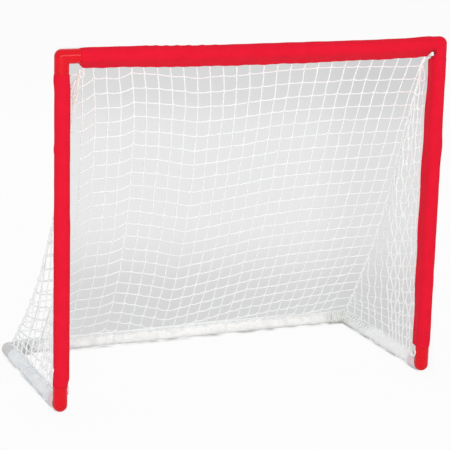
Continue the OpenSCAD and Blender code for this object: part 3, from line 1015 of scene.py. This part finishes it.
barSleeve = {
    "radius": 0.0224, "pinch": 0.05, "thick": 0.0012,
    "slot": "red_sleeve", "held": "gathered", "stitch": redStitch,
    "start": -postX + 0.050, "ringEvery": 0.0045,
    "ripple": 0.0007,
    "gathers": 0.0016,  # small folds across the top, left of the middle
    "gatherFrom": -0.36, "gatherTo": -0.10, "gatherFade": 0.05, "gatherEvery": 0.034,
    "hemWave": 0.0014,
    "scallop": 0.0005,
    "hood": 0.0214, "hoodLow": 0.042,
    "hemEnds": 0.032,  # from the middle of the right post
    "cornerCut": 0.013,  # the hem is cut off slantwise at the open end
    "endRadius": 0.0214, "endTaper": 0.014,
    "endUneven": 0.0035, "endOut": 0.0012, "endReach": 0.02,  # the open end is cut a little unevenly
    # metres along the bar: how many millimetres the cloth hangs off the pipe, and more or less hem
    "sag": ((-0.52, 0), (-0.34, 0.8), (-0.28, 2.5), (-0.19, 4.5), (0, 4.7), (0.38, 4.5), (0.46, 3.4),
            (0.505, 0.9), (0.527, 0)),
    "hemMore": ((-0.5, -1.2), (-0.4, -0.7), (-0.3, 0.5), (-0.2, 1.3), (0, 2.7), (0.15, 2.6),
                (0.25, 1.7), (0.35, 0.9), (0.45, 0.6), (0.5, 1.4)),
}


def barRing(s, place, fall):
    # place: metres along the bar; fall: 0 with the full hem, 1 where it has run out into the hood
    fall = max(fall, 1 - easeStep(s["start"] - 0.001, s["start"] + s["cornerCut"], place))
    hem = blendIn(hems["bar"] + readOff(s["hemMore"], place) / 1000, s["radius"] * 1.01, fall)
    pull = cos(2 * pi * (place - backNet["topMiddle"]) / backNet["topStep"])
    hem += s["scallop"] * pull * (1 - fall)
    radius = blendIn(s["radius"], s["hood"], fall if place > 0 else 0.0)
    radius = blendIn(s["endRadius"], radius, easeStep(s["start"], s["start"] + s["endTaper"], place))
    sag = readOff(s["sag"], place) / 1000
    inGathers = easeStep(s["gatherFrom"], s["gatherFrom"] + s["gatherFade"], place)
    inGathers *= 1 - easeStep(s["gatherTo"] - s["gatherFade"], s["gatherTo"], place)

    def bump(angle, share):
        wave = sin(2 * pi * (place + 0.006 * sin(angle * 2)) / s["gatherEvery"] + 1.5 * sin(place * 21))
        gathers = s["gathers"] * inGathers * max(0.0, -cos(angle)) ** 2 * max(0.0, wave) ** 1.5
        return s["ripple"] * clothNoise(place, angle * 0.02, 1.7, 26) + gathers

    a, b = clothRing(radius, max(hem, radius * 1.01), hems["bar"], s["pinch"] * (1 - fall), bump,
                     s["hemWave"] * (1 - fall) * sin(place * 41 + 2.2 * sin(place * 13)))
    # the hem points down and a little to the back
    return frontY + a * sin(barLean) - b * cos(barLean), barZ - a * cos(barLean) - b * sin(barLean) - sag


def hoodRings(s, x0, lastY, lastZ):
    # the last ring of the bar, seen as angles, turns the corner and runs down over the post
    angles = np.arctan2(frontY - lastY, lastZ - barZ)  # 0 at the top
    r, up, y = s["hood"], np.cos(angles), frontY - s["hood"] * np.sin(angles)
    outer, inner = r * np.maximum(up, 0), r * np.minimum(up, 0)
    rings = [(x0 + (postX + inner - x0) * q, y, barZ + r * up) for q in np.linspace(0.15, 1.0, 7)]
    for turn in np.linspace(0, pi / 2, 10)[1:-1]:
        rings.append((postX + outer * sin(turn) + inner, y, barZ + outer * cos(turn) + inner))
    for q in np.linspace(0, 1, 9):
        z = barZ + inner + (barZ - s["hoodLow"] - (barZ + inner)) * q
        full = [r + 0.0006 * (1 - q) * clothNoise(height, a * 0.02, 5.0, 40)
                for height, a in zip(z, angles)]
        rings.append((postX + full * up, frontY - full * np.sin(angles), z))
    return [np.column_stack(ring) for ring in rings]


def makeBarSleeve(s):
    turnStart, turnEnd = postX - s["hemEnds"], postX - s["hood"] - 0.001
    stations = [*np.arange(s["start"], turnStart, s["ringEvery"]), *np.linspace(turnStart, turnEnd, 8)]
    stations.insert(1, s["start"] + edgeStep)
    rings = []
    for place in stations:
        y, z = barRing(s, place, easeStep(turnStart, turnEnd, place))
        edge = max(0.0, 1 - (place - s["start"]) / s["endReach"])
        uneven = [clothNoise((b - frontY) * 3, (c - barZ) * 3, 0.4, 30) for b, c in zip(y, z)]
        x = place + edge * s["endUneven"] * np.array(uneven) - edge * s["endOut"]
        rings.append(np.column_stack([x, y, z]))
    rings += hoodRings(s, stations[-1], *barRing(s, stations[-1], 1.0))
    sewSleeve("crossbar_cloth", "crossbar_sleeve", rings,
              redCloth, s, (2, 3, len(stations) - 9),
              ((0, 1, 0), (0, -1, 0)))


makeBarSleeve(barSleeve)
print("crossbar sleeve sewn")

postSleeve = {
    "radius": 0.0207, "pinch": 0.08, "thick": 0.0008,
    "slot": "red_sleeve", "held": "stretched", "stitch": redStitch,
    "low": 0.0752, "rings": 191,
    "lowTaper": 0.018, "lowRadius": 0.0201,  # drawn in over the elbows at their feet
    "topTaper": 0.04,
    "widerBelow": 0.62, "widerFade": 0.12,  # the left sleeve is looser below this height
    "ripple": 0.0009,
    "hemWave": 0.0018,
    "endUneven": 0.0012,
    "footCreases": 0.0004, "footCreasesUpTo": 0.02,
}
# over: wider at the top; ends: where its last bit starts and stops to draw in to endRadius;
# pulled: how far the net draws the sleeve inwards; calm: metres of smooth cloth at the top;
# bumps: place, height and reach of the soft bumps on the outer side
postSleeveSides = {
    "left": {
        "side": -1, "top": barZ - 0.048, "over": 0.0003, "ends": (0.0, 0.012), "endRadius": 0.0203,
        "wider": 0.0009, "pulled": 0.0024, "calm": 0.007,
        "bumps": ((0.735, 0.0018, 0.012), (0.118, -0.0022, 0.006)),
    },
    "right": {  # slips under the hood
        "side": 1, "top": barZ - 0.040, "over": 0.0007, "ends": (0.001, 0.006),
        "endRadius": barSleeve["hood"] - 0.0001,
        "wider": 0.0, "pulled": -0.0009, "calm": 0.0, "bumps": ((0.685, 0.0048, 0.030),),
    },
}


def makePostSleeve(word, s, own):
    side, top = own["side"], own["top"]
    stations = np.append(np.linspace(s["low"], top, s["rings"]), (s["low"] + edgeStep, top - edgeStep))
    stations = np.sort(stations)
    rings = []
    for z in stations:
        below, above = top - z, z - s["low"]
        wider = own["wider"] * (1 - easeStep(s["widerBelow"] - s["widerFade"], s["widerBelow"], z))
        radius = s["radius"] + own["over"] * (1 - easeStep(0.008, 0.008 + s["topTaper"], below)) + wider
        radius = blendIn(s["lowRadius"], radius, easeStep(0.0, s["lowTaper"], above))
        radius = blendIn(own["endRadius"], radius, easeStep(*own["ends"], below))
        hem = blendIn(radius * 1.01, hems["post"], easeStep(0.0005, 0.011, below))
        onPipe = easeStep(-0.004, 0.024, above)
        centreX = side * (postX - own["pulled"] * onPipe * easeStep(0.007, 0.05, below))
        centreX += onPipe * 0.6 * wider
        lean = postLean(z)
        calm = easeStep(0.0, 0.02, below - own["calm"])

        def bump(angle, share):
            out = calm * s["ripple"] * clothNoise(z, angle * 0.03, 2.0 + 9 * side, 24)
            atFoot = s["footCreases"] * exp(-above / s["footCreasesUpTo"])
            out += atFoot * sin(angle * 7 + 2 * side) * (1 - share)
            facing = max(0.0, cos(angle + side * pi * 0.5))
            return out + sum(high * exp(-((z - height) / reach) ** 2) * facing
                             for height, high, reach in own["bumps"])

        a, b = clothRing(radius, hem, hem, s["pinch"], bump, -s["hemWave"] * sin(z * 37 + side))
        # the hem points to the back and inwards; the lower end is cut a little unevenly
        uneven = [s["endUneven"] * clothNoise(q * 3, p * 3, s["low"], 30) if z <= stations[1] else 0.0
                  for p, q in sleeveOutline(radius, hem, s["pinch"])]
        rings.append(np.column_stack([centreX - side * a * sin(lean) - b * cos(lean),
                                      frontY + a * cos(lean) - side * b * sin(lean), z + np.array(uneven)]))
    sewSleeve(f"{word}_post_cloth", f"{word}_post_sleeve",
              rings, redCloth, s,
              (2, 3, len(rings) - 3), ((1, 0, 0), (-1, 0, 0)))


for word, own in postSleeveSides.items():
    makePostSleeve(word, postSleeve, own)
print("post sleeves sewn")

baseSleeve = {
    "radius": 0.0175, "pinch": 0.34, "thick": 0.0008,
    "slot": "base_sleeve", "held": "gathered", "stitch": stitchWithCreaseShade,
    "ripple": 0.0011,
    "creases": 0.00368,
    "hemWave": 0.0016,
    "puff": 0.0055, "puffScale": 21.0,  # how unevenly the hem stands up between its lashings
    "flare": 0.0200,  # radius over the front elbow
    "armRadius": 0.0208,  # of the elbow that the front end is cut round
    "frontGap": 0.023, "elbowEnd": 0.058, "cone": 0.014, "rearGap": 0.057,
    "rearStart": 0.508,
}


def baseRing(s, place, radius, hem, seed, creased):
    def bump(angle, share):
        fold = softNoise(place * 95 + 3 * sin(angle), angle * 1.1, seed * 3)
        ripple = s["ripple"] * clothNoise(place, angle * 0.02, seed, 30)
        return ripple + s["creases"] * creased * max(0.0, fold)

    wave = s["hemWave"] * sin(place * 52 + seed) if hem > radius * 1.2 else 0.0
    return clothRing(radius, hem, max(hem, radius * 1.05), s["pinch"], bump, wave, 0.0010, 0.6)


def saddleCut(s, along, across):
    # how far this part of the end reaches past the top of the cut
    behind = sqrt(max(s["armRadius"] ** 2 - across ** 2, 0.0))
    return max(s["frontGap"] - 0.0015 - behind * easeStep(-0.8, 0.3, along / s["armRadius"]), 0.0)


def makeSideBaseSleeve(side, word, cloth, s):
    start, stop, elbowEnd = frontY + s["frontGap"], rearY - s["rearGap"], frontY + s["elbowEnd"]
    rings = []
    for y in np.linspace(start, stop, 110):
        closing = easeStep(elbowEnd - 0.002, elbowEnd + s["cone"], y)
        radius = blendIn(s["flare"], s["radius"], closing)
        high = hems["side"] + 0.6 * s["puff"] * clothNoise(y, 1.3 + side, 6.0, s["puffScale"])
        hem = blendIn(radius * 1.01, high, easeStep(elbowEnd - 0.004, elbowEnd + 0.02, y))
        a, b = baseRing(s, y, radius, hem, 3.0 + side, 0.5 + 0.8 * closing)
        # the front end is cut to fit round the elbow; the hem stands up
        early = 1 - easeStep(start, start + 0.03, y)
        cut = np.array([saddleCut(s, *point) for point in zip(a, b)])
        rings.append(np.column_stack([side * postX + b, y - early * cut, np.maximum(baseZ + a, 0.0003)]))
    sewSleeve(f"{word}_base_cloth", f"{word}_base_sleeve", rings, cloth, s,
              (7, 26, -2), ((1, 0, 0.5), (-1, 0, 0.5)))


def makeRearSleeve(s):
    sine, cosine = sin(rearLean), cos(rearLean)
    rings = []
    for x in np.linspace(-s["rearStart"], s["rearStart"], 230):
        creased = 0.6 + 1.1 * (1 - easeStep(-0.40, -0.10, x))
        high = hems["rear"] + s["puff"] * clothNoise(x, 0.7, 2.0, s["puffScale"])
        a, b = baseRing(s, x, s["radius"], high, 8.0, creased)
        # the hem leans up and forwards, towards the net
        rings.append(np.column_stack([np.full_like(a, x), rearY - a * sine + b * cosine,
                                      baseZ + a * cosine + b * sine]))
    sewSleeve("rear_base_cloth", "rear_base_sleeve",
              rings, rearCloth, s, (2, 2, -2),
              ((0, cosine, sine), (0, -cosine, -sine)))


for (side, word), cloth in zip(bothSides, (shadedLeftCloth, rightCloth)):
    makeSideBaseSleeve(side, word, cloth, baseSleeve)
makeRearSleeve(baseSleeve)
print("base sleeves sewn")

# floor and light

floorLook = {
    "size": 60.0,
    "pale": (0.90, 0.90, 0.90), "roughness": 0.9, "specular": 0.1,
    "shownWhite": 0.9,  # share of plain white that the camera sees over the lit floor
    # painted shade behind the goal: a grey patch as deep as this and as wide as the mouth shows of it
    "paintedShadeStart": 0.010, "paintedShadeEdge": 0.10,
    "paintedShadeSlopes": (0.3172, 0.5773),  # metres aside for each metre behind the mouth, left and right
    "paintedShadeDepth": 11.65, "paintedShadeTurn": 0.17, "paintedShadeFade": 0.2,
    "shadeFrom": 0.045, "shadeTo": 0.08, "shade": 0.07,  # the painted shade is darker on the right
    # the dark line where the base rests on the floor: how far it lies off the pipe,
    # where it fades out, and how much of it the patches leave
    "contact": 0.8, "patchScale": 16.0,
    "contactRear": {"off": 0.004, "fade": (0.0165, 0.0125), "patches": (0.40, 0.62)},
    "contactSide": {"off": 0.0065, "fade": (0.0112, 0.0072), "patches": (0.26, 0.62)},
    # metres from the camera along the floor, and the tone of the painted shade there
    "tones": ((5.6, 0.69), (5.9, 0.715), (6.15, 0.765), (6.5, 0.812), (6.8, 0.828), (8.3, 0.82),
              (8.9, 0.806), (9.7, 0.742), (10.6, 0.705), (11.4, 0.695)),
    "tonesEnd": 12.0,
    "tint": (1, 1.004, 1.002),
}


def makeFloor(f):
    mesh = bpy.data.meshes.new("floor")
    h = f["size"] / 2
    mesh.from_pydata([(-h, -h, 0), (h, -h, 0), (h, h, 0), (-h, h, 0)], [], [(0, 1, 2, 3)])
    addObject("floor", mesh)
    material, shader, place = newMaterial("paleFloor", f)
    mesh.materials.append(material)
    x, y = splitUp(place)[:2]
    # metres along the line of sight, and to the right of it
    heading = radians(cameraSetup["headingDeg"])
    sine, cosine = sin(heading), cos(heading)
    eyeX, eyeY = cameraSetup["place"][:2]
    away = less(maths("ADD", times(x, sine), times(y, cosine)), eyeX * sine + eyeY * cosine)
    aside = less(less(times(x, cosine), times(y, sine)), eyeX * cosine - eyeY * sine)
    start, edge = f["paintedShadeStart"], f["paintedShadeEdge"]
    behind = maths("MAXIMUM", softStep(y, rearY + start, rearY + start + edge),
                   softStep(x, postX + start, postX + start + edge / 3))
    leftOf, rightOf = (less(x, times(less(y, frontY), slope)) for slope in f["paintedShadeSlopes"])
    edges = [softStep(way, -postX - edge / 2, -postX + edge / 2) for way in (leftOf, times(rightOf, -1.0))]
    depth = less(times(aside, f["paintedShadeTurn"]), away)
    farEdge = softStep(depth, -f["paintedShadeDepth"], -f["paintedShadeDepth"] + f["paintedShadeFade"])
    # painted shade: where the floor behind the goal shows grey to the camera
    paintedShade = times(times(behind, farEdge), times(*edges))
    tone = addNode(place, "ValToRGB", Fac=maths("DIVIDE", away, f["tonesEnd"]))
    stops = tone.color_ramp.elements
    while len(stops) < len(f["tones"]):
        stops.new(0.5)
    for stop, (distance, value) in zip(stops, f["tones"]):
        stop.position = distance / f["tonesEnd"]
        stop.color = (*(value * part for part in f["tint"]), 1)
    onRight = softStep(maths("DIVIDE", aside, away), f["shadeFrom"], f["shadeTo"])
    shaded = addNode(place, "VectorMath", operation="SCALE", Scale=less(1.0, times(onRight, f["shade"])))
    fill(shaded.inputs[0], tone.outputs["Color"])
    # in patches under the base the camera sees the floor as it is lit
    rear, beside = f["contactRear"], f["contactSide"]
    patch = patches(place, f["patchScale"], 1.0)
    fromRear = sizeOf(less(y, rearY - rear["off"]))
    fromSide = sizeOf(less(sizeOf(maths("ADD", x, beside["off"])), postX))
    underRear = times(softStep(fromRear, *rear["fade"]), softStep(sizeOf(x), postX + 0.01, postX - 0.01))
    underSide = times(softStep(fromSide, *beside["fade"]),
                      times(softStep(y, frontY - 0.02, frontY + 0.02), softStep(y, rearY + 0.02, rearY)))
    underBase = maths("MAXIMUM", times(underRear, softStep(patch, *rear["patches"])),
                      times(underSide, softStep(patch, *beside["patches"])))
    showing = less(1.0, times(underBase, f["contact"]))
    # the camera sees plain white, or the painted shade's tone, over the lit floor, and the shadows stay
    seen, lit = (mixColours(paintedShade, (*pale, 1), shaded.outputs["Vector"]) for pale in ((1, 1, 1), f["pale"]))
    fill(shader.inputs["Base Color"], lit)
    plain = outOf(place, "Emission", "Emission", Strength=1.0, Color=seen)
    ray = outOf(place, "LightPath", "Is Camera Ray")
    mixed = mixShaders(times(ray, times(showing, f["shownWhite"])), shader.outputs["BSDF"], plain)
    fill(material.node_tree.nodes["surface"].inputs["Surface"], mixed)


makeFloor(floorLook)

lightSetup = {
    "world": 0.71,
    "aim": (0, 0, 0.4),
    # name, power, place, width; the fill gives the thin highlights on the elbows
    "lamps": (("key", 142.0, (-3.2, -6.6, 2.3), 3.4), ("fill", 14.0, (1.0, -5.0, 2.9), 0.75),
              ("front", 20.0, (0.1, -5.4, 2.5), 2.2), ("back", 14.0, (0.5, 3.6, 3.0), 2.6)),
}


def lightScene(s):
    for name, power, place, width in s["lamps"]:
        data = bpy.data.lights.new(name + "Lamp", "AREA")
        data.energy, data.size = power, width
        lamp = addObject(name + "Lamp", data)
        lamp.location = place
        lamp.rotation_euler = (Vector(s["aim"]) - Vector(place)).to_track_quat("-Z", "Y").to_euler()
    world = bpy.data.worlds.new("studio")
    bpy.context.scene.world = world
    world.use_nodes = True
    tree = world.node_tree
    tree.nodes.clear()
    # white to the camera, and a plain level of light on the goal
    glow, seen = (outOf(tree, "Background", "Background", Strength=strength, Color=(1, 1, 1, 1))
                  for strength in (s["world"], 1.0))
    ray = outOf(tree, "LightPath", "Is Camera Ray")
    addNode(tree, "OutputWorld", Surface=mixShaders(ray, glow, seen))
    bpy.context.scene.view_settings.view_transform = "Standard"


lightScene(lightSetup)
print("stage lit")
